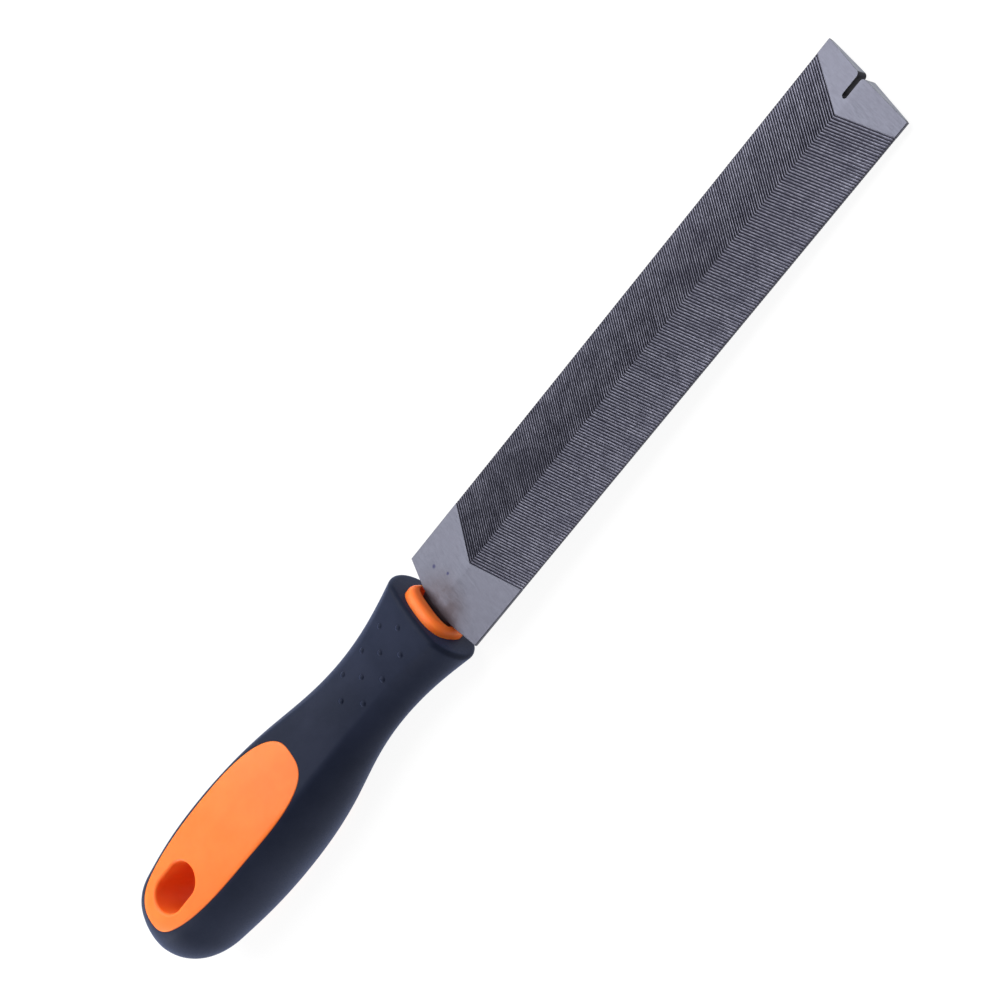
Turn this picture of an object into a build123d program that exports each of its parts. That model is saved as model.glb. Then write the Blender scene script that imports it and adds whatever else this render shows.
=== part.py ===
"""Rhombic saw file with an over-moulded plastic handle.

Frame: +X runs from the butt of the handle to the tip of the blade, +Y across the blade's width and
+Z through its thickness. The origin is the centre of the file's bounding box. Millimetres.
"""
from build123d import *
from math import copysign, cos, sin, tau
import os

# ---- driving dimensions ----------------------------------------------------------------------
BLADE_LENGTH = 150.0      # nominal 6 in file: tip to heel corner
BLADE_WIDTH = 26.8
RIDGE_THICKNESS = 3.8     # across the two ridges
EDGE_THICKNESS = 0.8      # along the thin edges
HEEL_GAP = 4.0            # heel corner to the face of the handle's collar
HANDLE_LENGTH = 109.0     # collar face to butt
OVERALL_LENGTH = BLADE_LENGTH + HEEL_GAP + HANDLE_LENGTH

TIP_X = OVERALL_LENGTH / 2
HEEL_X = TIP_X - BLADE_LENGTH
COLLAR_X = HEEL_X - HEEL_GAP

SHOULDER_HALF_WIDTH = 5.5     # where the sloping heel meets the tang
SHOULDER_DROP = 1.5
TANG_HALF_WIDTH = 4.4         # at its root
TANG_END_HALF_WIDTH = 2.0
TANG_LENGTH = 48.0            # from the heel corner
TANG_ROOT_DROP = 5.0
TANG_THICKNESS = 2.8
TANG_END_THICKNESS = 1.8

SLOT_WIDTH = 1.4              # tooth-setting slot in the tip
SLOT_DEPTH = 6.0
SLOT_Y = 1.1
SLOT_MOUTH_RADIUS = 1.0

NOSE_HALF_WIDTH = 7.6         # end of the core, standing proud of the collar as a ring
NOSE_HALF_THICKNESS = 6.5
NOSE_PROUD = 2.4
NOSE_BACK = 5.0               # how far the nose runs back inside the collar
NOSE_EDGE_RADIUS = 1.4
NOSE_POWER = 2.7              # superellipse power of the nose and its mouth
MOUTH_HALF_WIDTH = 6.3        # open mouth round the root of the tang
MOUTH_HALF_THICKNESS = 3.0
MOUTH_DEPTH = 6.0

BAR_WIDTH = 12.4              # buried bar of the core, from the nose to the palm block
BAR_THICKNESS = 9.6
BAR_EDGE_RADIUS = 2.0
BAR_END = 52.0                # distances along the handle are from the collar face

# Palm block of the core: its outline is the long oval inlay seen on both broad faces.
INLAY_WIDEST_AT = 69.0
INLAY_NOSE_LENGTH = 24.0
INLAY_TAIL_LENGTH = 33.0
INLAY_HALF_WIDTH = 9.7
INLAY_NOSE_POWER = 2.85
INLAY_TAIL_POWER = 2.65

HANG_HOLE_LENGTH = 13.6
HANG_HOLE_WIDTH = 8.8
HANG_HOLE_AT = 90.0
HANG_HOLE_RIM = 0.8

COLLAR_RIM_RADIUS = 1.2

STUD_PITCH = 7.8              # small raised finger studs on the neck: a middle row and two side rows
STUD_START = 4.5
STUDS_IN_MIDDLE_ROW = 4
STUD_ROW_SPACING = 4.3
STUD_RADIUS = 0.9
STUD_PROUD = 0.35

# Handle sections, evenly spaced from the collar face to where the butt begins: half width, half
# thickness, half width of the broad facet, height of the facet's edge, corner radius.
SECTION_PITCH = 12.25
HANDLE_SECTIONS = [
    (13.1, 8.8, 8.9, 7.8, 4.5),
    (10.85, 7.55, 6.4, 6.75, 4.0),
    (10.0, 7.15, 5.9, 6.35, 3.8),
    (10.75, 8.55, 6.9, 7.85, 3.2),
    (12.5, 10.7, 8.6, 10.15, 3.0),
    (13.5, 12.4, 9.65, 11.7, 3.0),
    (13.6, 12.8, 10.05, 12.1, 3.2),
    (13.4, 12.8, 9.4, 12.05, 3.4),
    (12.3, 12.6, 7.25, 11.6, 4.6),
]
# Butt: the last section shrinks along a rounded profile; each value is a share of its length.
BUTT_STEPS = (0.0, 0.3, 0.55, 0.77, 0.93)
BUTT_POWER = 1.85


def across(distance):
    """Plane across the handle, a distance behind the collar face: its x is +Y and its y is +Z."""
    return Plane(origin=(COLLAR_X - distance, 0, 0), x_dir=(0, 1, 0), z_dir=(1, 0, 0))


def squarish_oval(front, back, half_width, front_power, back_power, points=32):
    """Points of a superellipse whose front and back halves may differ, for a closed spline."""
    outline = []
    for i in range(points):
        c = cos(tau * i / points)
        s = sin(tau * i / points)
        reach, power = (front, front_power) if c > 0 else (-back, back_power)
        outline.append((abs(c) ** (2 / power) * reach, copysign(abs(s) ** (2 / power), s) * half_width))
    return outline


nose_outline = squarish_oval(NOSE_HALF_WIDTH, NOSE_HALF_WIDTH, NOSE_HALF_THICKNESS,
                             NOSE_POWER, NOSE_POWER)
mouth_outline = squarish_oval(MOUTH_HALF_WIDTH, MOUTH_HALF_WIDTH, MOUTH_HALF_THICKNESS,
                              NOSE_POWER, NOSE_POWER)
inlay_points = squarish_oval(INLAY_NOSE_LENGTH, INLAY_TAIL_LENGTH, INLAY_HALF_WIDTH,
                             INLAY_NOSE_POWER, INLAY_TAIL_POWER)

os.makedirs("parts", exist_ok=True)


# ---- outer form of the handle, shared by the grip and the palm block ---------------------------
main_sections = [(i * SECTION_PITCH, *sizes) for i, sizes in enumerate(HANDLE_SECTIONS)]
butt_start, *butt_sizes = main_sections[-1]
butt_sections = []
for step in BUTT_STEPS:
    shrink = (1 - step ** BUTT_POWER) ** (1 / BUTT_POWER)
    distance = butt_start + step * (HANDLE_LENGTH - butt_start)
    butt_sections.append((distance, *[size * shrink for size in butt_sizes]))

with BuildPart() as handle_form:
    for section_rows in (main_sections, butt_sections):
        for distance, a, b, facet, facet_z, corner in section_rows:
            with BuildSketch(across(distance)) as section:
                with BuildLine():
                    ThreePointArc((facet, facet_z), (0, b), (-facet, facet_z))
                    ThreePointArc((-facet, facet_z), (-a, 0), (-facet, -facet_z))
                    ThreePointArc((-facet, -facet_z), (0, -b), (facet, -facet_z))
                    ThreePointArc((facet, -facet_z), (a, 0), (facet, facet_z))
                make_face()
                fillet(section.vertices(), radius=corner)
        loft()
    butt_face = handle_form.faces().sort_by(Axis.X)[0]
    extrude(butt_face, amount=HANDLE_LENGTH - butt_sections[-1][0])
    collar_face = handle_form.faces().sort_by(Axis.X)[-1]
    fillet(collar_face.edges(), radius=COLLAR_RIM_RADIUS)

with BuildSketch(Plane(origin=(COLLAR_X - INLAY_WIDEST_AT, 0, 0))) as inlay_outline:
    with BuildLine():
        Spline(*inlay_points, periodic=True)
    make_face()

# ---- file_blade: rhombic steel blade, its sloping heel, the tang and the slot in the tip --------
with BuildPart() as file_blade:
    with BuildSketch(Plane.YZ.offset(HEEL_X - SHOULDER_DROP)):
        with BuildLine():
            Polyline((0, RIDGE_THICKNESS / 2), (BLADE_WIDTH / 2, EDGE_THICKNESS / 2),
                     (BLADE_WIDTH / 2, -EDGE_THICKNESS / 2), (0, -RIDGE_THICKNESS / 2),
                     (-BLADE_WIDTH / 2, -EDGE_THICKNESS / 2), (-BLADE_WIDTH / 2, EDGE_THICKNESS / 2),
                     close=True)
        make_face()
    extrude(amount=BLADE_LENGTH + SHOULDER_DROP)
    with BuildSketch():
        with BuildLine():
            Polyline((TIP_X, BLADE_WIDTH / 2), (HEEL_X, BLADE_WIDTH / 2),
                     (HEEL_X - SHOULDER_DROP, SHOULDER_HALF_WIDTH),
                     (HEEL_X - SHOULDER_DROP, -SHOULDER_HALF_WIDTH),
                     (HEEL_X, -BLADE_WIDTH / 2), (TIP_X, -BLADE_WIDTH / 2), close=True)
        make_face()
    extrude(amount=RIDGE_THICKNESS, both=True, mode=Mode.INTERSECT)
    tang_sections = [
        (HEEL_X - SHOULDER_DROP, 2 * SHOULDER_HALF_WIDTH, TANG_THICKNESS),
        (HEEL_X - TANG_ROOT_DROP, 2 * TANG_HALF_WIDTH, TANG_THICKNESS),
        (HEEL_X - TANG_LENGTH, 2 * TANG_END_HALF_WIDTH, TANG_END_THICKNESS),
    ]
    for x, width, thickness in tang_sections:
        with BuildSketch(Plane.YZ.offset(x)):
            Rectangle(width, thickness)
    loft(ruled=True)
    with BuildSketch():
        with Locations((TIP_X, SLOT_Y)):
            SlotOverall(2 * SLOT_DEPTH, SLOT_WIDTH)
    extrude(amount=RIDGE_THICKNESS, both=True, mode=Mode.SUBTRACT)
    tip_face = file_blade.faces().filter_by(Axis.X).group_by(Axis.X)[-1]
    mouth_edges = [edge for edge in tip_face.edges().filter_by(Axis.Z)
                   if abs(edge.center().Y - SLOT_Y) < SLOT_WIDTH]
    fillet(mouth_edges, radius=SLOT_MOUTH_RADIUS)

file_blade.part.label = "file_blade"
export_step(file_blade.part, "parts/file_blade.step")

# ---- handle_core: first shot of the handle: nose ring, buried bar, palm block and hang hole -----
with BuildPart() as handle_core:
    add(handle_form.part)
    add(inlay_outline.sketch)
    extrude(amount=BLADE_WIDTH, both=True, mode=Mode.INTERSECT)
    with BuildSketch(across(NOSE_BACK)):
        with BuildLine():
            Spline(*nose_outline, periodic=True)
        make_face()
    extrude(amount=NOSE_BACK + NOSE_PROUD)
    nose_face = handle_core.faces().sort_by(Axis.X)[-1]
    fillet(nose_face.edges(), radius=NOSE_EDGE_RADIUS)
    with BuildSketch(across(BAR_END)):
        RectangleRounded(BAR_WIDTH, BAR_THICKNESS, BAR_EDGE_RADIUS)
    extrude(amount=BAR_END - NOSE_BACK)
    with BuildSketch(across(MOUTH_DEPTH - NOSE_PROUD)):
        with BuildLine():
            Spline(*mouth_outline, periodic=True)
        make_face()
    extrude(amount=MOUTH_DEPTH, mode=Mode.SUBTRACT)
    add(file_blade.part, mode=Mode.SUBTRACT)
    with BuildSketch():
        with Locations((COLLAR_X - HANG_HOLE_AT, 0)):
            SlotOverall(HANG_HOLE_LENGTH, HANG_HOLE_WIDTH)
    extrude(amount=BLADE_WIDTH, both=True, mode=Mode.SUBTRACT)
    rim_edges = [edge for edge in handle_core.edges()
                 if abs(edge.center().X - (COLLAR_X - HANG_HOLE_AT)) < HANG_HOLE_LENGTH / 2
                 and abs(edge.center().Y) <= HANG_HOLE_WIDTH / 2 + 0.01
                 and abs(edge.center().Z) > MOUTH_HALF_THICKNESS]
    fillet(rim_edges, radius=HANG_HOLE_RIM)

handle_core.part.label = "handle_core"
export_step(handle_core.part, "parts/handle_core.step")

# ---- grip: soft second shot moulded round the core ---------------------------------------------
with BuildPart() as grip:
    add(handle_form.part)
    add(inlay_outline.sketch)
    extrude(amount=BLADE_WIDTH, both=True, mode=Mode.SUBTRACT)
    with BuildSketch(across(NOSE_BACK)):
        with BuildLine():
            Spline(*nose_outline, periodic=True)
        make_face()
    extrude(amount=NOSE_BACK + NOSE_PROUD, mode=Mode.SUBTRACT)
    with BuildSketch(across(BAR_END)):
        RectangleRounded(BAR_WIDTH, BAR_THICKNESS, BAR_EDGE_RADIUS)
    extrude(amount=BAR_END - NOSE_BACK, mode=Mode.SUBTRACT)

    # The side rows are staggered by half a pitch, and both broad faces carry the same studs.
    for row, row_y in ((0, 0), (1, STUD_ROW_SPACING), (1, -STUD_ROW_SPACING)):
        for i in range(STUDS_IN_MIDDLE_ROW - row):
            stud_x = COLLAR_X - STUD_START - STUD_PITCH * (i + row / 2)
            surface = handle_form.part.find_intersection_points(Axis((stud_x, row_y, 0), (0, 0, 1)))
            stud_z = surface[-1][0].Z + STUD_PROUD - STUD_RADIUS
            with Locations((stud_x, row_y, stud_z), (stud_x, -row_y, -stud_z)):
                Sphere(STUD_RADIUS)

grip.part.label = "grip"
export_step(grip.part, "parts/grip.step")
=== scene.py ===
"""Looks of the rhombic saw file: a steel blade with cut teeth, an orange core and a slate-navy grip.

Everything is in metres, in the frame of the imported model: +X runs from the butt of the handle to the
tip of the blade, +Y across the blade and +Z through its thickness.
"""

from math import atan, cos, pi, radians, sin, tau

import bmesh
import bpy
import numpy as np
from mathutils import Matrix, Vector


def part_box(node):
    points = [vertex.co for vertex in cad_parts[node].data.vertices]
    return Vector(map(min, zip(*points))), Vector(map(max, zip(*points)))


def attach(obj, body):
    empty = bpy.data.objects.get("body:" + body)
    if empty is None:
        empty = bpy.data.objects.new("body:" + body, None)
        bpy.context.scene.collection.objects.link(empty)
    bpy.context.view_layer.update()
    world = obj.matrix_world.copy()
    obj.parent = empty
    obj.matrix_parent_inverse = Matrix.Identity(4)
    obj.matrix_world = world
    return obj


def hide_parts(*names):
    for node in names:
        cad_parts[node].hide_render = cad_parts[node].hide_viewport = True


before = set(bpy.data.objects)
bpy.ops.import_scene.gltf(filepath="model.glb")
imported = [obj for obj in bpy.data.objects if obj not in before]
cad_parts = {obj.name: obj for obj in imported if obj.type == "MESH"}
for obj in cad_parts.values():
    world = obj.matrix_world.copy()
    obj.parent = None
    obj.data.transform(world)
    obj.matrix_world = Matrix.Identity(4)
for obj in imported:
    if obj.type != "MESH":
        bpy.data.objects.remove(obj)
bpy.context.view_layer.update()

MM = 0.001
RANDOM_SEED = 11
random = np.random.default_rng(RANDOM_SEED)

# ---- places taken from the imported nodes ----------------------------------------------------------
blade_low, blade_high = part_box("file_blade")
core_low, core_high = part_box("handle_core")
grip_low, grip_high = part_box("grip")

TIP_X = blade_high.x
TANG_END_X = blade_low.x
BLADE_HALF_WIDTH = blade_high.y
RIDGE_Z = blade_high.z
COLLAR_X = grip_high.x
HANDLE_LENGTH = grip_high.x - grip_low.x
RING_FRONT_X = core_high.x
INLAY_TAIL_X = core_low.x
INLAY_HALF_WIDTH = core_high.y

# ---- blade ---------------------------------------------------------------------------------------
HEEL_X = TIP_X - 150 * MM
EDGE_Z = 0.4 * MM               # half of the thickness along the thin edges
EDGE_BEVEL = 0.12 * MM
EDGE_FLAT_SHARE = 0.75          # flat part of the thin edge's height, between its bevels
TIP_BEVEL = 0.03 * MM
SHOULDER_HALF_WIDTH = 5.5 * MM  # the heel slopes back from its corners to here
SHOULDER_DROP = 1.5 * MM
TIP_CORNER_RADIUS = 0.35 * MM
TANG_POWER = 2.8                # superellipse power of the tang's sections
FACET_COLUMNS = 20              # mesh columns across one facet
HEEL_ROWS = 14                  # mesh rows on the plain steel at the heel and at the tip
TIP_ROWS = 10

TOOTH_PITCH = 0.685 * MM        # along the blade
TOOTH_DEPTH = 0.24 * MM
TOOTH_SWEEP = 0.41              # how far a tooth moves along the blade for each unit across it
TEETH_START_X = HEEL_X + 12 * MM   # at the ridge
TEETH_END_X = TIP_X - 9.5 * MM
TOOTH_PROFILE = ((0.0, 0.0), (0.42, 0.5), (0.78, 0.97), (0.88, 1.0))   # along the pitch, height
TEETH_LEAD_IN = 0.08 * MM       # plain steel ends this far before the first gullet
TEETH_LEAD_OUT = 0.1 * MM       # and starts again this far after the last
SHALLOWER_AT_EDGE = 0.3         # share of the depth lost at the thin edges
PITCH_JITTER = 0.035            # shares of the pitch and of the height
WANDER_JITTER = 0.004
ROW_HEIGHT_JITTER = 0.05
POINT_HEIGHT_JITTER = 0.04

SLOT_WIDTH = 1.4 * MM
SLOT_DEPTH = 6.0 * MM
SLOT_Y = 1.1 * MM
SLOT_MOUTH_RADIUS = 1.0 * MM

# ---- handle --------------------------------------------------------------------------------------
# Sections evenly spaced from the collar face: half width, half thickness, half width of the broad
# facet, height of the facet's edge and corner radius.
SECTION_PITCH = 12.25 * MM
HANDLE_SECTIONS = MM * np.array([
    (13.1, 8.8, 8.9, 7.8, 4.5),
    (10.85, 7.55, 6.4, 6.75, 4.0),
    (10.0, 7.15, 5.9, 6.35, 3.8),
    (10.75, 8.55, 6.9, 7.85, 3.2),
    (12.5, 10.7, 8.6, 10.15, 3.0),
    (13.5, 12.4, 9.65, 11.7, 3.0),
    (13.6, 12.8, 10.05, 12.1, 3.2),
    (13.4, 12.8, 9.4, 12.05, 3.4),
    (12.4, 12.7, 7.3, 11.7, 4.8),
    (11.6, 10.9, 5.6, 9.5, 5.2),
])
BUTT_START = 96 * MM
BUTT_POWER = 2.25
COLLAR_RIM_RADIUS = 1.2 * MM
TOP_POINTS = 22                 # mesh points along a quarter of a section
CORNER_POINTS = 10
SIDE_POINTS = 16

NOSE_HALF_WIDTH = 7.6 * MM      # ring round the tang
NOSE_HALF_THICKNESS = 6.5 * MM
NOSE_BACK = 5.0 * MM
NOSE_EDGE_RADIUS = 1.4 * MM
NOSE_POWER = 2.7
NOSE_POINTS = 160
MOUTH_HALF_WIDTH = 6.3 * MM
MOUTH_HALF_THICKNESS = 3.0 * MM
MOUTH_DEPTH = 6.0 * MM
MOUTH_EDGE_RADIUS = 0.6 * MM

BAR_WIDTH = 12.4 * MM
BAR_THICKNESS = 9.6 * MM
BAR_END = 52.0 * MM
BAR_POWER = 8

INLAY_WIDEST_AT = 69.0 * MM
INLAY_NOSE_LENGTH = 24.0 * MM
INLAY_NOSE_POWER = 2.85
INLAY_TAIL_POWER = 2.65
INLAY_EDGE_RADIUS = 0.2 * MM
INLAY_POINTS = 360
SEAM_GAP = 0.05 * MM

HANG_HOLE_LENGTH = 13.6 * MM
HANG_HOLE_WIDTH = 8.8 * MM
HANG_HOLE_AT = 90.0 * MM
HANG_HOLE_RIM = 0.8 * MM

STUD_PITCH = 7.8 * MM
STUD_START = 4.5 * MM
STUDS_IN_MIDDLE_ROW = 4
STUD_ROW_SPACING = 4.3 * MM
STUD_RADIUS = 0.9 * MM
STUD_PROUD = 0.35 * MM

# ---- marks stored on the blade's mesh ------------------------------------------------------------
PLAIN_STEEL = 2.0               # "crest" where there are no teeth; teeth run from 0 to 1
TIP_FACE = 1.0                  # "ends" on the end face and in the slot
SLOT_WALL = 2.0

# ---- colours -------------------------------------------------------------------------------------
GROUND_DARK = (0.084, 0.085, 0.108, 1)
GROUND_LIGHT = (0.111, 0.114, 0.143, 1)
# Painted highlight on the tops of the teeth: lighter steel standing in for the light they catch, mottled
# from dim to bright.
CREST_HIGHLIGHT_DIM = (0.18, 0.18, 0.235, 1)
CREST_HIGHLIGHT_BRIGHT = (0.26, 0.26, 0.325, 1)
CREST_WORN = (0.08, 0.08, 0.11, 1)
# Painted shade in the gullets between the teeth.
GULLET_PAINTED_SHADE = (0.045, 0.045, 0.062, 1)
# Painted light on the tip's end face: a lighter steel standing in for the light it catches.
TIP_FACE_PAINTED_LIGHT = (0.205, 0.22, 0.275, 1)
# Painted shade: near-black steel for the shadowed walls of the slot.
SLOT_WALL_PAINTED_SHADE = (0.006, 0.006, 0.014, 1)
STAIN = (0.062, 0.05, 0.056, 1)
PIT = (0.03, 0.03, 0.07, 1)
ORANGE_DEEP = (0.83, 0.158, 0.023, 1)
ORANGE_PALE = (0.87, 0.177, 0.030, 1)
NAVY_DARK = (0.0078, 0.0110, 0.0240, 1)
NAVY_LIGHT = (0.0120, 0.0156, 0.0318, 1)
NAVY_SCUFF = (0.025, 0.028, 0.042, 1)
BLUE_SHEEN = (0.3, 0.45, 1.0, 1)
FLOOR_GREY = (0.11, 0.11, 0.11, 1)
WHITE = (1, 1, 1, 1)


# ---- mesh helpers --------------------------------------------------------------------------------
def mesh_object(name, points, faces):
    """Object with a closed mesh of these points and faces, its normals facing out."""
    mesh = bpy.data.meshes.new(name)
    mesh.from_pydata(np.asarray(points).tolist(), [], faces)
    work = bmesh.new()
    work.from_mesh(mesh)
    bmesh.ops.recalc_face_normals(work, faces=work.faces)
    work.to_mesh(mesh)
    work.free()
    made = bpy.data.objects.new(name, mesh)
    bpy.context.scene.collection.objects.link(made)
    return made


def skin(name, rings, looped=False, ends=None):
    """Closed object over a stack of rings: joined end to end, or closed by a pole at each end."""
    rings = np.asarray(rings)
    count, size = rings.shape[:2]
    points = rings.reshape(-1, 3)
    faces = []
    for i in range(count if looped else count - 1):
        low = i * size
        high = (i + 1) % count * size
        faces += [(low + j, low + (j + 1) % size, high + (j + 1) % size, high + j) for j in range(size)]
    if ends is not None:
        points = np.vstack([points, ends])
        first_pole = count * size
        last = (count - 1) * size
        for j in range(size):
            faces.append((j, first_pole, (j + 1) % size))
            faces.append((last + j, last + (j + 1) % size, first_pole + 1))
    return mesh_object(name, points, faces)


def combine(target, tool, operation):
    """Boolean of two closed objects; the tool is used up."""
    modifier = target.modifiers.new(operation, "BOOLEAN")
    modifier.operation = operation
    modifier.solver = "MANIFOLD"
    modifier.object = tool
    result = bpy.data.meshes.new_from_object(target.evaluated_get(bpy.context.evaluated_depsgraph_get()))
    target.modifiers.clear()
    target.data = result
    bpy.data.objects.remove(tool)


def smooth(target, sharp_angle):
    """Smooth shading with edges sharper than this angle, in degrees, kept crisp."""
    target.data.shade_smooth()
    target.data.set_sharp_from_angle(angle=radians(sharp_angle))


def prism(name, outline, low, high):
    """Closed prism of a plan outline between two heights."""
    rings = [[(x, y, z) for x, y in outline] for z in (low, high)]
    centre = np.mean(outline, axis=0)
    return skin(name, rings, ends=[(*centre, low), (*centre, high)])


def squarish(angle, reach, half_width, power):
    """Points of a superellipse at these angles, spread evenly along it."""
    c = np.cos(angle)
    s = np.sin(angle)
    out = (np.abs(c) ** power + np.abs(s) ** power) ** (-1 / power)
    return np.stack([c * out * reach, s * out * half_width], axis=-1)


# ---- outer form of the handle --------------------------------------------------------------------
def spline_bends(rows, pitch):
    """Second derivatives of the natural cubic spline through evenly spaced rows."""
    count = len(rows)
    matrix = np.eye(count)
    right = np.zeros_like(rows)
    for i in range(1, count - 1):
        matrix[i, i - 1:i + 2] = (1, 4, 1)
        right[i] = 6 * (rows[i - 1] - 2 * rows[i] + rows[i + 1]) / pitch ** 2
    return np.linalg.solve(matrix, right)


section_bends = spline_bends(HANDLE_SECTIONS, SECTION_PITCH)


def section_sizes(distance):
    """The five sizes of the handle's section at distances behind the collar face."""
    distance = np.atleast_1d(distance)
    index = np.clip((distance / SECTION_PITCH).astype(int), 0, len(HANDLE_SECTIONS) - 2)
    after = (distance - index * SECTION_PITCH)[:, None]
    before = SECTION_PITCH - after
    sizes = (HANDLE_SECTIONS[index] * before + HANDLE_SECTIONS[index + 1] * after) / SECTION_PITCH
    sizes += section_bends[index] * (before ** 3 / SECTION_PITCH - before * SECTION_PITCH) / 6
    sizes += section_bends[index + 1] * (after ** 3 / SECTION_PITCH - after * SECTION_PITCH) / 6
    into_butt = np.clip((distance - BUTT_START) / (HANDLE_LENGTH - BUTT_START), 0, 1)
    return sizes * ((1 - into_butt ** BUTT_POWER) ** (1 / BUTT_POWER))[:, None]


class Sections:
    """Arcs and corners of the handle's sections at an array of distances."""

    def __init__(self, distance):
        half_width, half_thickness, facet, facet_z, corner = section_sizes(distance).T
        rise = half_thickness - facet_z
        bulge = half_width - facet
        self.half_width = half_width
        self.top_radius = (facet ** 2 + rise ** 2) / (2 * rise)
        self.top_centre = half_thickness - self.top_radius
        self.side_radius = (facet_z ** 2 + bulge ** 2) / (2 * bulge)
        self.side_centre = half_width - self.side_radius
        top_angle = np.arcsin(facet / self.top_radius)
        side_angle = np.arctan2(facet_z, facet - self.side_centre)
        reach = corner * np.tan((pi / 2 - side_angle - top_angle) / 2)
        self.top_angle = top_angle - reach / self.top_radius
        self.side_angle = side_angle - reach / self.side_radius
        self.corner = (facet, facet_z)
        self.corner_start = self.on_top(self.top_angle)
        self.corner_end = self.on_side(self.side_angle)

    def on_top(self, angle):
        return self.top_radius * np.sin(angle), self.top_centre + self.top_radius * np.cos(angle)

    def on_side(self, angle):
        return self.side_centre + self.side_radius * np.cos(angle), self.side_radius * np.sin(angle)

    def on_corner(self, t):
        return tuple((1 - t) ** 2 * start + 2 * t * (1 - t) * middle + t ** 2 * end
                     for start, middle, end in zip(self.corner_start, self.corner, self.corner_end))


def handle_rings(distance):
    """Closed loops of (y, z) round the handle at an array of distances."""
    s = Sections(distance)
    quarter = [s.on_top(s.top_angle * i / TOP_POINTS) for i in range(TOP_POINTS)]
    quarter += [s.on_corner(i / CORNER_POINTS) for i in range(CORNER_POINTS)]
    quarter += [s.on_side(s.side_angle * (1 - i / SIDE_POINTS)) for i in range(SIDE_POINTS)]
    quarter.append((s.half_width, 0 * s.half_width))
    quarter = np.array(quarter).transpose(2, 0, 1)
    below = quarter[:, ::-1] * (1, -1)
    half = np.concatenate([quarter, below[:, 1:]], axis=1)
    return np.concatenate([half, half[:, -2:0:-1] * (-1, 1)], axis=1)


def top_height(distance, across):
    """Height of the handle's upper surface at distances behind the collar and places across it."""
    s = Sections(distance)
    y = np.abs(across)
    top = s.top_centre + np.sqrt(np.maximum(s.top_radius ** 2 - y ** 2, 0))
    side = np.sqrt(np.maximum(s.side_radius ** 2 - (y - s.side_centre) ** 2, 0))
    start, middle, end = s.corner_start[0], s.corner[0], s.corner_end[0]
    slope = 2 * (middle - start)
    root = np.sqrt(np.maximum(slope ** 2 - 4 * (start - 2 * middle + end) * (start - y), 0))
    t = np.clip(2 * (y - start) / (slope + root), 0, 1)
    return np.where(y <= start, top, np.where(y >= end, side, s.on_corner(t)[1]))


def inward(loops, amount):
    """Closed loops of (y, z) moved inwards by an amount, square to themselves."""
    along = np.roll(loops, -1, axis=-2) - np.roll(loops, 1, axis=-2)
    normal = np.stack([-along[..., 1], along[..., 0]], axis=-1)
    normal /= np.linalg.norm(normal, axis=-1, keepdims=True)
    centre_side = np.sign(np.sum(normal * -loops, axis=-1, keepdims=True))
    return loops + normal * centre_side * amount


# ---- blade ---------------------------------------------------------------------------------------
def facet_z(y):
    """Height of the plain facets at places across the blade."""
    return RIDGE_Z - (RIDGE_Z - EDGE_Z) * np.abs(y) / BLADE_HALF_WIDTH


def heel_x(y):
    """Place along the blade of the heel's sloping end."""
    slope = np.clip((np.abs(y) - SHOULDER_HALF_WIDTH) / (BLADE_HALF_WIDTH - SHOULDER_HALF_WIDTH), 0, 1)
    return HEEL_X - SHOULDER_DROP * (1 - slope)


def tip_x(y):
    """Place along the blade of the tip's end, with its rounded corners."""
    into_corner = np.clip(np.abs(y) - (BLADE_HALF_WIDTH - TIP_CORNER_RADIUS), 0, TIP_CORNER_RADIUS)
    return TIP_X - TIP_CORNER_RADIUS + np.sqrt(TIP_CORNER_RADIUS ** 2 - into_corner ** 2)


def blade_rows(y):
    """Rows of (x, depth below the plain facet) across the blade, from the heel to the tip."""
    sweep = TOOTH_SWEEP * np.abs(y)
    first = TEETH_START_X + sweep
    last = TEETH_END_X + sweep
    plain = np.zeros_like(y)
    rows = [(heel_x(y), plain + EDGE_BEVEL)]
    for i in range(HEEL_ROWS):
        share = i / HEEL_ROWS
        rows.append(((heel_x(y) + EDGE_BEVEL) * (1 - share) + first * share, plain))
    rows.append((first - TEETH_LEAD_IN, plain))
    tooth_count = round((TEETH_END_X - TEETH_START_X) / TOOTH_PITCH)
    full_depth = TOOTH_DEPTH * (1 - SHALLOWER_AT_EDGE * (np.abs(y) / BLADE_HALF_WIDTH) ** 2)
    for tooth in range(tooth_count):
        shift = random.normal(0, PITCH_JITTER)
        wander = np.cumsum(random.normal(0, WANDER_JITTER, len(y)))
        height = 1 + random.normal(0, ROW_HEIGHT_JITTER) + random.normal(0, POINT_HEIGHT_JITTER, len(y))
        for along, level in TOOTH_PROFILE:
            x = first + (tooth + along + (shift + wander) * level) * TOOTH_PITCH
            rows.append((x, full_depth * (1 - level * np.minimum(height, 1.0))))
    rows.append((last, full_depth))
    plain_start = last + TEETH_LEAD_OUT
    rows.append((plain_start, plain))
    for i in range(1, TIP_ROWS + 1):
        share = i / TIP_ROWS
        rows.append((plain_start * (1 - share) + (tip_x(y) - TIP_BEVEL) * share, plain))
    rows.append((tip_x(y), plain + TIP_BEVEL))
    return rows


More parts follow.
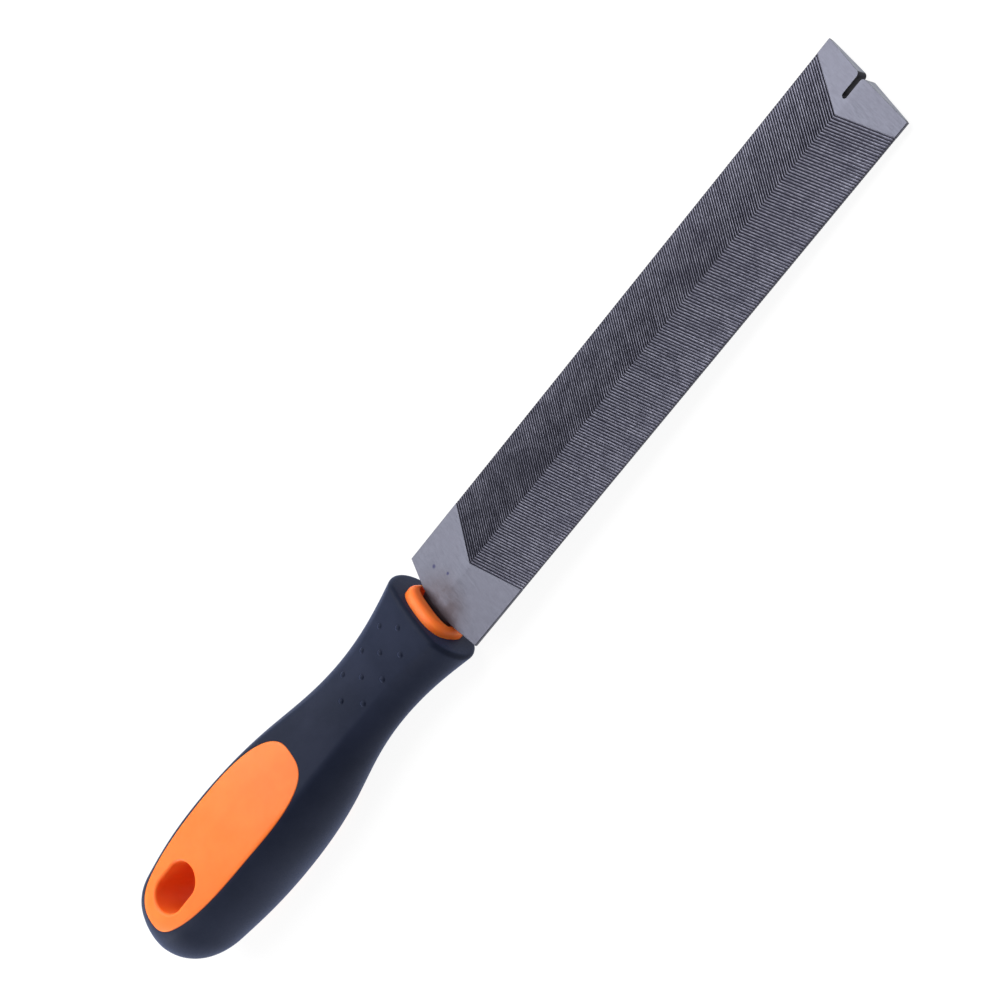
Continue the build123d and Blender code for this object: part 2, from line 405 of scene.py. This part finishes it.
def make_blade():
    """Blade skinned row by row, its two faces cut separately, with the tang joined and the slot cut."""
    half_columns = np.linspace(BLADE_HALF_WIDTH - EDGE_BEVEL, 0, FACET_COLUMNS + 1)
    columns = np.concatenate([half_columns, -half_columns[-2::-1]])
    count = len(columns)
    rings = []
    for (x, depth), (x_below, depth_below) in zip(blade_rows(columns), blade_rows(columns)):
        top = np.stack([x, columns, facet_z(columns) - depth], axis=-1)
        below = np.stack([x_below, columns, depth_below - facet_z(columns)], axis=-1)[::-1]
        left = [(edge[0], -BLADE_HALF_WIDTH, edge[2] * EDGE_FLAT_SHARE) for edge in (top[-1], below[0])]
        right = [(edge[0], BLADE_HALF_WIDTH, edge[2] * EDGE_FLAT_SHARE) for edge in (below[-1], top[0])]
        rings.append(np.vstack([top, left, below, right]))
    rings = np.array(rings)
    size = rings.shape[1]
    faces = []
    for i in range(len(rings) - 1):
        low = i * size
        high = low + size
        faces += [(low + j, low + (j + 1) % size, high + (j + 1) % size, high + j) for j in range(size)]
    last = (len(rings) - 1) * size
    for base in (0, last):
        faces += [(base + j, base + j + 1, base + 2 * count - j, base + 2 * count + 1 - j)
                  for j in range(count)]
        faces.append((base + 2 * count + 2, base + 2 * count + 3, base, base + 2 * count + 1))
    blade = mesh_object("blade", rings.reshape(-1, 3), faces)
    combine(blade, make_tang(), "UNION")
    combine(blade, make_slot(), "DIFFERENCE")
    return blade


def make_tang():
    """Tapered tang through sections given as place along the blade, half width and half thickness."""
    stations = [
        (HEEL_X + 1.0 * MM, 5.0 * MM, 1.40 * MM),
        (HEEL_X - SHOULDER_DROP, 5.4 * MM, 1.55 * MM),
        (HEEL_X - 3.4 * MM, 4.8 * MM, 1.50 * MM),
        (HEEL_X - 5.0 * MM, 4.4 * MM, 1.40 * MM),
        (TANG_END_X, 2.0 * MM, 0.90 * MM),
    ]
    angles = np.arange(48) * tau / 48
    rings = [[(x, y, z) for y, z in squarish(angles, half_width, half_thickness, TANG_POWER)]
             for x, half_width, half_thickness in stations]
    return skin("tang", rings, ends=[(stations[0][0], 0, 0), (stations[-1][0], 0, 0)])


def make_slot():
    """Cutter for the slot: a round inner end, straight walls and a small flare at the mouth."""
    half = SLOT_WIDTH / 2
    inner_x = TIP_X - SLOT_DEPTH + half
    flare_x = TIP_X - SLOT_MOUTH_RADIUS
    wall = [(TIP_X + 1 * MM, half + SLOT_MOUTH_RADIUS)]
    flare_steps = 8
    for i in range(flare_steps + 1):
        angle = pi / 2 * i / flare_steps
        wall.append((flare_x + SLOT_MOUTH_RADIUS * cos(angle), half + SLOT_MOUTH_RADIUS * (1 - sin(angle))))
    round_steps = 12
    for i in range(round_steps):
        angle = pi / 2 + pi / 2 * i / round_steps
        wall.append((inner_x + half * cos(angle), half * sin(angle)))
    mirrored = [(x, -y) for x, y in wall[::-1]]
    outline = [(x, y + SLOT_Y) for x, y in wall + [(inner_x - half, 0)] + mirrored]
    return prism("slot", outline, -2 * RIDGE_Z, 2 * RIDGE_Z)


# ---- handle pieces -------------------------------------------------------------------------------
def inlay_outline(offset=0.0):
    """Plan outline of the inlay as (distance behind the collar, y), grown by an offset."""
    angles = np.arange(INLAY_POINTS) * tau / INLAY_POINTS
    tail_length = COLLAR_X - INLAY_TAIL_X - INLAY_WIDEST_AT
    nose = squarish(angles, INLAY_NOSE_LENGTH, INLAY_HALF_WIDTH, INLAY_NOSE_POWER)
    tail = squarish(angles, tail_length, INLAY_HALF_WIDTH, INLAY_TAIL_POWER)
    outline = np.where(nose[:, :1] > 0, nose, tail)
    outline = inward(outline, -offset) if offset else outline
    return np.stack([INLAY_WIDEST_AT - outline[:, 0], outline[:, 1]], axis=-1)


def resampled(outline, centre):
    """The outline's points seen from a centre at even angles."""
    relative = outline - centre
    angle = np.arctan2(relative[:, 1], relative[:, 0])
    order = np.argsort(angle)
    angle = angle[order]
    relative = relative[order]
    wanted = -pi + (np.arange(INLAY_POINTS) + 0.5) * tau / INLAY_POINTS
    columns = [np.interp(wanted, angle, relative[:, k], period=tau) for k in range(2)]
    return np.stack(columns, axis=-1) + centre


def hole_outline(angles, offset):
    """Obround of the hang hole seen at even angles from its centre, grown by an offset."""
    radius = HANG_HOLE_WIDTH / 2 + offset
    straight = (HANG_HOLE_LENGTH - HANG_HOLE_WIDTH) / 2
    c = np.abs(np.cos(angles))
    s = np.abs(np.sin(angles))
    to_side = radius / np.maximum(s, 1e-9)
    to_end = straight * c + np.sqrt(np.maximum(radius ** 2 - (straight * s) ** 2, 0))
    length = np.where(to_side * c <= straight, to_side, to_end)
    return np.stack([HANG_HOLE_AT + length * np.cos(angles), length * np.sin(angles)], axis=-1)


def on_form(plan, drop):
    """Points at plan places (distance, y), at a drop below the handle's upper surface."""
    return np.stack([COLLAR_X - plan[:, 0], plan[:, 1], top_height(plan[:, 0], plan[:, 1]) - drop], axis=-1)


def mirrored_shell(upper):
    """Rings of the upper half and the same rings mirrored below, as one looped stack."""
    lower = [ring * (1, 1, -1) for ring in upper[::-1]]
    return upper + lower


def make_palm_block():
    """Palm block: hole wall, rounded rim, crowned face, rounded edge and outer wall, both ways up."""
    angles = -pi + (np.arange(INLAY_POINTS) + 0.5) * tau / INLAY_POINTS
    centre = np.array([HANG_HOLE_AT, 0])
    edge = resampled(inlay_outline(-INLAY_EDGE_RADIUS), centre)
    upper = []
    wall = hole_outline(angles, 0)
    rim_start = on_form(wall, HANG_HOLE_RIM)
    for share in (0.1, 0.4, 0.7, 0.9):      # up the hole's wall, from near the middle plane
        upper.append(rim_start * (1, 1, share))
    rim_steps = 8
    for i in range(rim_steps):
        angle = pi / 2 * i / rim_steps
        ring = hole_outline(angles, HANG_HOLE_RIM * (1 - cos(angle)))
        upper.append(on_form(ring, HANG_HOLE_RIM * (1 - sin(angle))))
    rim = hole_outline(angles, HANG_HOLE_RIM)
    face_steps = 26
    for i in range(face_steps + 1):
        share = i / face_steps
        upper.append(on_form(rim * (1 - share) + edge * share, 0))
    edge_steps = 5
    for i in range(1, edge_steps + 1):
        angle = pi / 2 * i / edge_steps
        ring = resampled(inlay_outline(-INLAY_EDGE_RADIUS * (1 - sin(angle))), centre)
        upper.append(on_form(ring, INLAY_EDGE_RADIUS * (1 - cos(angle))))
    outer_wall = upper[-1]
    for share in (0.8, 0.5, 0.2):
        upper.append(outer_wall * (1, 1, share))
    return skin("handle_core", mirrored_shell(upper), looped=True)


def make_nose():
    """Ring round the tang, closed behind: outer wall, rounded front, mouth and its floor."""
    angles = np.arange(NOSE_POINTS) * tau / NOSE_POINTS
    outer = squarish(angles, NOSE_HALF_WIDTH, NOSE_HALF_THICKNESS, NOSE_POWER)
    mouth = squarish(angles, MOUTH_HALF_WIDTH, MOUTH_HALF_THICKNESS, NOSE_POWER)
    back_x = COLLAR_X - NOSE_BACK
    rings = [(back_x, outer), (COLLAR_X, outer)]
    steps = 8
    for i in range(steps + 1):
        angle = pi / 2 * i / steps
        rings.append((RING_FRONT_X - NOSE_EDGE_RADIUS * (1 - sin(angle)),
                      inward(outer, NOSE_EDGE_RADIUS * (1 - cos(angle)))))
    for i in range(1, steps + 1):
        angle = pi / 2 * i / steps
        rings.append((RING_FRONT_X - MOUTH_EDGE_RADIUS * (1 - cos(angle)),
                      inward(mouth, -MOUTH_EDGE_RADIUS * (1 - sin(angle)))))
    floor_x = RING_FRONT_X - MOUTH_DEPTH
    rings.append((floor_x, mouth))
    solid = [[(x, y, z) for y, z in ring] for x, ring in rings]
    return skin("nose", solid, ends=[(back_x, 0, 0), (floor_x, 0, 0)])


def make_bar(name, grow):
    """Bar buried in the grip, from inside the nose to inside the palm block."""
    angles = np.arange(64) * tau / 64
    outline = squarish(angles, BAR_WIDTH / 2 + grow, BAR_THICKNESS / 2 + grow, BAR_POWER)
    ends = [COLLAR_X - NOSE_BACK + 1 * MM - grow, COLLAR_X - BAR_END]
    rings = [[(x, y, z) for y, z in outline] for x in ends]
    return skin(name, rings, ends=[(ends[0], 0, 0), (ends[1], 0, 0)])


def make_core():
    """Palm block, bar and nose ring in one piece."""
    core = make_palm_block()
    combine(core, make_bar("bar", 0), "UNION")
    combine(core, make_nose(), "UNION")
    return core


def make_opening():
    """Cutter for the grip's opening: a prism of the inlay's outline, through both broad faces."""
    outline = [(COLLAR_X - distance, y) for distance, y in inlay_outline(SEAM_GAP)]
    return prism("opening", outline, -2 * INLAY_HALF_WIDTH, 2 * INLAY_HALF_WIDTH)


def stud_centres():
    """Centres of the finger studs on both broad faces."""
    places = []
    for row, row_y in ((0, 0.0), (1, STUD_ROW_SPACING), (1, -STUD_ROW_SPACING)):
        for i in range(STUDS_IN_MIDDLE_ROW - row):
            distance = STUD_START + STUD_PITCH * (i + row / 2)
            z = top_height(np.array([distance]), np.array([row_y]))[0] + STUD_PROUD - STUD_RADIUS
            places += [(COLLAR_X - distance, row_y, z), (COLLAR_X - distance, -row_y, -z)]
    return places


def make_grip():
    """Outer form of the handle, less the opening for the palm block, the nose and the bar."""
    studded = COLLAR_RIM_RADIUS + np.arange(88) * 0.35 * MM
    plain = np.arange(32, BUTT_START / MM) * MM
    butt_steps = 30
    into_butt = np.sin(np.arange(butt_steps) / butt_steps * pi / 2) ** 0.9
    stations = np.concatenate([studded, plain, BUTT_START + (HANDLE_LENGTH - BUTT_START) * into_butt])
    loops = handle_rings(stations)
    rings = [np.column_stack([np.full(len(loop), COLLAR_X - d), loop]) for d, loop in zip(stations, loops)]
    rim = []
    rim_steps = 7
    for i in range(rim_steps, 0, -1):
        angle = i / rim_steps * pi / 2
        distance = COLLAR_RIM_RADIUS * (1 - sin(angle))
        loop = inward(handle_rings(np.array([distance]))[0], COLLAR_RIM_RADIUS * (1 - cos(angle)))
        rim.append(np.column_stack([np.full(len(loop), COLLAR_X - distance), loop]))
    face = [rim[0] * (1, share, share) for share in (0.75, 0.85, 0.95)]
    butt = (COLLAR_X - HANDLE_LENGTH, 0, 0)
    grip = skin("grip", face + rim + rings, ends=[(COLLAR_X, 0, 0), butt])
    for centre in stud_centres():
        mesh = bpy.data.meshes.new("stud")
        ball = bmesh.new()
        at = Matrix.Translation(centre)
        bmesh.ops.create_icosphere(ball, subdivisions=3, radius=STUD_RADIUS, matrix=at)
        ball.to_mesh(mesh)
        ball.free()
        stud = bpy.data.objects.new("stud", mesh)
        bpy.context.scene.collection.objects.link(stud)
        combine(grip, stud, "UNION")
    combine(grip, make_opening(), "DIFFERENCE")
    combine(grip, make_bar("bar_cavity", SEAM_GAP), "DIFFERENCE")
    angles = np.arange(NOSE_POINTS) * tau / NOSE_POINTS
    outline = squarish(angles, NOSE_HALF_WIDTH + SEAM_GAP, NOSE_HALF_THICKNESS + SEAM_GAP, NOSE_POWER)
    ends = (COLLAR_X - NOSE_BACK - SEAM_GAP, COLLAR_X + 1 * MM)
    cavity = skin("nose_cavity", [[(x, y, z) for y, z in outline] for x in ends],
                  ends=[(ends[0], 0, 0), (ends[1], 0, 0)])
    combine(grip, cavity, "DIFFERENCE")
    return grip


# ---- materials -----------------------------------------------------------------------------------
class Look:
    """A material and short ways to add nodes to it."""

    def __init__(self, name):
        self.material = bpy.data.materials.new(name)
        self.material.use_nodes = True
        self.nodes = self.material.node_tree.nodes
        self.links = self.material.node_tree.links
        self.shader = self.nodes["Principled BSDF"]
        self.place = self.nodes.new("ShaderNodeTexCoord").outputs["Object"]

    def add(self, kind, inputs=None, **settings):
        """New node with these settings and inputs."""
        made = self.nodes.new(kind)
        for key, value in settings.items():
            setattr(made, key, value)
        for key, value in (inputs or {}).items():
            self.put(made.inputs[key], value)
        return made

    def put(self, socket, value):
        """Feeds a socket with another node's output or with a plain value."""
        if isinstance(value, bpy.types.NodeSocket):
            self.links.new(value, socket)
        else:
            socket.default_value = value

    def math(self, operation, a, b):
        made = self.add("ShaderNodeMath", operation=operation)
        self.put(made.inputs[0], a)
        self.put(made.inputs[1], b)
        return made.outputs[0]

    def noise(self, scale, detail=3.0, roughness=0.55, stretch=(1, 1, 1)):
        mapping = self.add("ShaderNodeMapping", {"Vector": self.place, "Scale": stretch})
        made = self.add("ShaderNodeTexNoise", {"Vector": mapping.outputs[0], "Scale": scale,
                                               "Detail": detail, "Roughness": roughness})
        return made.outputs["Fac"]

    def ramp(self, value, low, high, start=0.0, end=1.0):
        """Goes smoothly from start to end while the value goes from low to high."""
        made = self.add("ShaderNodeMapRange", {"Value": value, "From Min": low, "From Max": high,
                                               "To Min": start, "To Max": end})
        made.interpolation_type = "SMOOTHSTEP"
        return made.outputs[0]

    def mix(self, share, a, b):
        """Colour that goes from a to b with the share."""
        made = self.add("ShaderNodeMix", data_type="RGBA")
        self.put(made.inputs[0], share)
        self.put(made.inputs[6], a)
        self.put(made.inputs[7], b)
        return made.outputs[2]

    def spot(self, centre, radius, softness):
        """1 within a radius of a point, falling to 0 over the softness."""
        away = self.add("ShaderNodeVectorMath", operation="DISTANCE")
        self.put(away.inputs[0], self.place)
        self.put(away.inputs[1], centre)
        return self.ramp(away.outputs["Value"], radius, radius + softness, 1.0, 0.0)

    def bump(self, height, distance, strength, normal=None):
        inputs = {"Height": height, "Distance": distance, "Strength": strength}
        if normal is not None:
            inputs["Normal"] = normal
        return self.add("ShaderNodeBump", inputs).outputs[0]


def steel_look():
    """Mottled bare steel with painted shade in the gullets and painted highlight on the tops of the teeth,
    painted light on the tip's end face, painted shade on the slot's walls, a stain and two pits at the
    heel.
    """
    look = Look("steel")
    crest = look.add("ShaderNodeAttribute", attribute_name="crest").outputs["Fac"]
    mottle = look.noise(260, 5, 0.65)
    grain = look.noise(5200, 2)
    scratch = look.noise(900, 2, stretch=(6, 0.5, 1))
    flecks = look.noise(1500, 2, 0.6)
    ground = look.mix(look.ramp(mottle, 0.3, 0.72), GROUND_DARK, GROUND_LIGHT)
    # Painted highlight on the tops of the teeth, mottled, then worn flecks mixed in.
    crest_highlight_and_wear = look.mix(look.ramp(mottle, 0.3, 0.72), CREST_HIGHLIGHT_DIM, CREST_HIGHLIGHT_BRIGHT)
    crest_highlight_and_wear = look.mix(look.ramp(flecks, 0.36, 0.62), look.mix(0.55, crest_highlight_and_wear, CREST_WORN), crest_highlight_and_wear)
    # Painted shade in the gullets, blending by stored height up to the painted highlight on the tops of the
    # teeth.
    toothed = look.mix(look.ramp(crest, 0.3, 0.98), GULLET_PAINTED_SHADE, crest_highlight_and_wear)
    steel = look.mix(look.ramp(crest, 1.1, 1.9), toothed, ground)
    ends = look.add("ShaderNodeAttribute", attribute_name="ends").outputs["Fac"]
    # Painted light on the tip's end face.
    steel = look.mix(look.ramp(ends, 0.4, 0.6), steel, TIP_FACE_PAINTED_LIGHT)
    # Painted shade on the slot's walls.
    steel = look.mix(look.ramp(ends, 1.4, 1.6), steel, SLOT_WALL_PAINTED_SHADE)
    stain = look.math("MULTIPLY", look.spot((HEEL_X - 1.5 * MM, -0.5 * MM, 1 * MM), 3.5 * MM, 7 * MM),
                      look.ramp(mottle, 0.35, 0.65, 0.35, 0.8))
    stained = look.mix(stain, steel, STAIN)
    pits = look.math("MAXIMUM", look.spot((HEEL_X + 3.9 * MM, 7.1 * MM, 1.2 * MM), 0.1 * MM, 0.65 * MM),
                     look.spot((HEEL_X + 5.9 * MM, 2.9 * MM, 1.6 * MM), 0.14 * MM, 0.4 * MM))
    look.put(look.shader.inputs["Base Color"], look.mix(pits, stained, PIT))
    look.put(look.shader.inputs["Metallic"], 0.9)
    satin = look.ramp(mottle, 0.25, 0.75, 0.34, 0.5)
    streaks = look.ramp(scratch, 0.35, 0.7, -0.04, 0.06)
    look.put(look.shader.inputs["Roughness"], look.math("ADD", satin, streaks))
    fine = look.bump(grain, 0.01 * MM, 0.25)
    look.put(look.shader.inputs["Normal"], look.bump(scratch, 0.012 * MM, 0.2, fine))
    return look.material


def orange_look():
    """Satin orange plastic that lets a little light through."""
    look = Look("orange_plastic")
    cloud = look.noise(120, 3)
    grain = look.noise(3600, 3)
    colour = look.mix(look.ramp(cloud, 0.3, 0.7), ORANGE_DEEP, ORANGE_PALE)
    look.put(look.shader.inputs["Base Color"], colour)
    look.put(look.shader.inputs["Roughness"], look.ramp(grain, 0.2, 0.8, 0.38, 0.5))
    look.put(look.shader.inputs["Normal"], look.bump(grain, 0.02 * MM, 0.2))
    look.put(look.shader.inputs["Specular IOR Level"], 0.22)
    look.put(look.shader.inputs["Subsurface Weight"], 0.4)
    look.put(look.shader.inputs["Subsurface Radius"], (0.004, 0.0008, 0.0002))
    look.put(look.shader.inputs["Subsurface Scale"], 1.0)
    return look.material


def rubber_look():
    """Matte slate-navy rubber with a faint blue sheen and light scuffs."""
    look = Look("dark_rubber")
    cloud = look.noise(90, 4, 0.6)
    grain = look.noise(2600, 4, 0.6)
    scuff = look.noise(700, 2, stretch=(1, 4, 4))
    colour = look.mix(look.ramp(cloud, 0.3, 0.7), NAVY_DARK, NAVY_LIGHT)
    colour = look.mix(look.ramp(scuff, 0.68, 0.8, 0, 0.25), colour, NAVY_SCUFF)
    look.put(look.shader.inputs["Base Color"], colour)
    look.put(look.shader.inputs["Roughness"], look.ramp(grain, 0.25, 0.75, 0.48, 0.62))
    look.put(look.shader.inputs["Specular IOR Level"], 0.08)
    look.put(look.shader.inputs["Sheen Weight"], 0.22)
    look.put(look.shader.inputs["Sheen Roughness"], 0.4)
    look.put(look.shader.inputs["Sheen Tint"], BLUE_SHEEN)
    look.put(look.shader.inputs["Normal"], look.bump(grain, 0.03 * MM, 0.25))
    return look.material


def floor_look():
    """Evenly lit white table."""
    look = Look("light_table")
    look.put(look.shader.inputs["Base Color"], FLOOR_GREY)
    look.put(look.shader.inputs["Roughness"], 0.9)
    look.put(look.shader.inputs["Specular IOR Level"], 0.0)
    look.put(look.shader.inputs["Emission Color"], WHITE)
    look.put(look.shader.inputs["Emission Strength"], 0.92)
    return look.material


# ---- pieces --------------------------------------------------------------------------------------
def set_crest(blade):
    """Stores how high each point of the toothed steel stands, from 0 in a gullet to 1 on a crest; the
    steel's colour paints shade in the gullets and highlight on the tops of the teeth from it.
    """
    count = len(blade.data.vertices)
    places = np.empty(count * 3)
    blade.data.vertices.foreach_get("co", places)
    x, y, z = places.reshape(-1, 3).T
    depth = facet_z(y) - np.abs(z)
    along = x - TOOTH_SWEEP * np.abs(y)
    margin = TEETH_LEAD_IN / 2
    toothed = (along > TEETH_START_X - margin) & (along < TEETH_END_X + margin)
    crest = np.where(toothed, np.clip(1 - depth / TOOTH_DEPTH, 0, 1), PLAIN_STEEL)
    blade.data.attributes.new("crest", "FLOAT", "POINT").data.foreach_set("value", crest)


def set_ends(blade):
    """Marks the end face of the tip and the walls of the slot, for painted light on the end face and
    painted shade on the slot's walls.
    """
    count = len(blade.data.polygons)
    centres = np.empty(count * 3)
    normals = np.empty(count * 3)
    blade.data.polygons.foreach_get("center", centres)
    blade.data.polygons.foreach_get("normal", normals)
    x, y, _ = centres.reshape(-1, 3).T
    facing = np.abs(normals.reshape(-1, 3))
    tip = (x > TIP_X - 0.02 * MM) & (facing[:, 0] > 0.9)
    beside_slot = np.abs(y - SLOT_Y) < SLOT_WIDTH / 2 + SLOT_MOUTH_RADIUS
    slot = (x > TIP_X - SLOT_DEPTH - 0.1 * MM) & beside_slot & (facing[:, 2] < 0.05)
    marks = np.where(tip, TIP_FACE, np.where(slot, SLOT_WALL, 0.0))
    blade.data.attributes.new("ends", "FLOAT", "FACE").data.foreach_set("value", marks)


def finish_piece(piece, node, material, sharp_angle):
    """Names, colours and smooths a piece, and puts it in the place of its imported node."""
    piece.name = node + "_visual"
    piece.data.materials.clear()
    piece.data.materials.append(material)
    smooth(piece, sharp_angle)
    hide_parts(node)
    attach(piece, "root")


blade = make_blade()
set_crest(blade)
set_ends(blade)
finish_piece(blade, "file_blade", steel_look(), 25)
finish_piece(make_core(), "handle_core", orange_look(), 35)
finish_piece(make_grip(), "grip", rubber_look(), 32)

# ---- floor: the file rests on the belly of the handle and on its tip -----------------------------
BELLY_AT = 73 * MM
FLOOR_GAP = 0.3 * MM
FLOOR_SIZE = 8.0
belly_x = COLLAR_X - BELLY_AT
belly_z = core_low.z
floor_tilt = atan((-RIDGE_Z - belly_z) / (TIP_X - belly_x))
floor_mesh = bpy.data.meshes.new("floor")
corners = [(-1, -1, 0), (1, -1, 0), (1, 1, 0), (-1, 1, 0)]
floor_mesh.from_pydata([Vector(corner) * FLOOR_SIZE / 2 for corner in corners], [], [(0, 1, 2, 3)])
floor = bpy.data.objects.new("floor", floor_mesh)
bpy.context.scene.collection.objects.link(floor)
floor_place = Matrix.Translation((belly_x, 0, belly_z - FLOOR_GAP))
floor.matrix_world = floor_place @ Matrix.Rotation(-floor_tilt, 4, "Y")
floor_mesh.materials.append(floor_look())


# ---- light ---------------------------------------------------------------------------------------
def area_light(name, place, size, power):
    """Rectangular lamp at a place, turned to the origin."""
    data = bpy.data.lights.new(name, "AREA")
    data.shape = "RECTANGLE"
    data.size, data.size_y = size
    data.energy = power
    light = bpy.data.objects.new(name, data)
    bpy.context.scene.collection.objects.link(light)
    light.location = place
    light.rotation_mode = "QUATERNION"
    light.rotation_quaternion = Vector(place).to_track_quat("Z", "Y")


area_light("softbox_above", (0.02, 0.62, 0.95), (1.5, 1.5), 29)
area_light("softbox_butt", (-0.9, -0.15, 0.28), (0.7, 0.5), 6)
WORLD_STRENGTH = 0.22
world = bpy.data.worlds.new("studio")
bpy.context.scene.world = world
world.use_nodes = True
world.node_tree.nodes["Background"].inputs["Color"].default_value = WHITE
world.node_tree.nodes["Background"].inputs["Strength"].default_value = WORLD_STRENGTH
bpy.context.scene.view_settings.view_transform = "Standard"

# ---- camera --------------------------------------------------------------------------------------
CAMERA_AZIMUTH = radians(40.03)
CAMERA_ELEVATION = radians(51.45)
CAMERA_ROLL = radians(-84.30)
CAMERA_AIM = Vector((8.02, 5.01, 0.47)) * MM
CAMERA_DISTANCE = 0.6935
CAMERA_LENS = 115.02            # in millimetres, for the sensor below
SENSOR_WIDTH = 36

back = Vector((sin(CAMERA_AZIMUTH) * cos(CAMERA_ELEVATION), -cos(CAMERA_AZIMUTH) * cos(CAMERA_ELEVATION),
               sin(CAMERA_ELEVATION)))
level = Vector((cos(CAMERA_AZIMUTH), sin(CAMERA_AZIMUTH), 0))
above = back.cross(level)
right = level * cos(CAMERA_ROLL) + above * sin(CAMERA_ROLL)
camera_data = bpy.data.cameras.new("camera")
camera_data.lens = CAMERA_LENS
camera_data.sensor_width = SENSOR_WIDTH
camera = bpy.data.objects.new("camera", camera_data)
bpy.context.scene.collection.objects.link(camera)
turn = Matrix((right, back.cross(right), back)).transposed().to_4x4()
camera.matrix_world = Matrix.Translation(CAMERA_AIM + back * CAMERA_DISTANCE) @ turn
bpy.context.scene.camera = camera
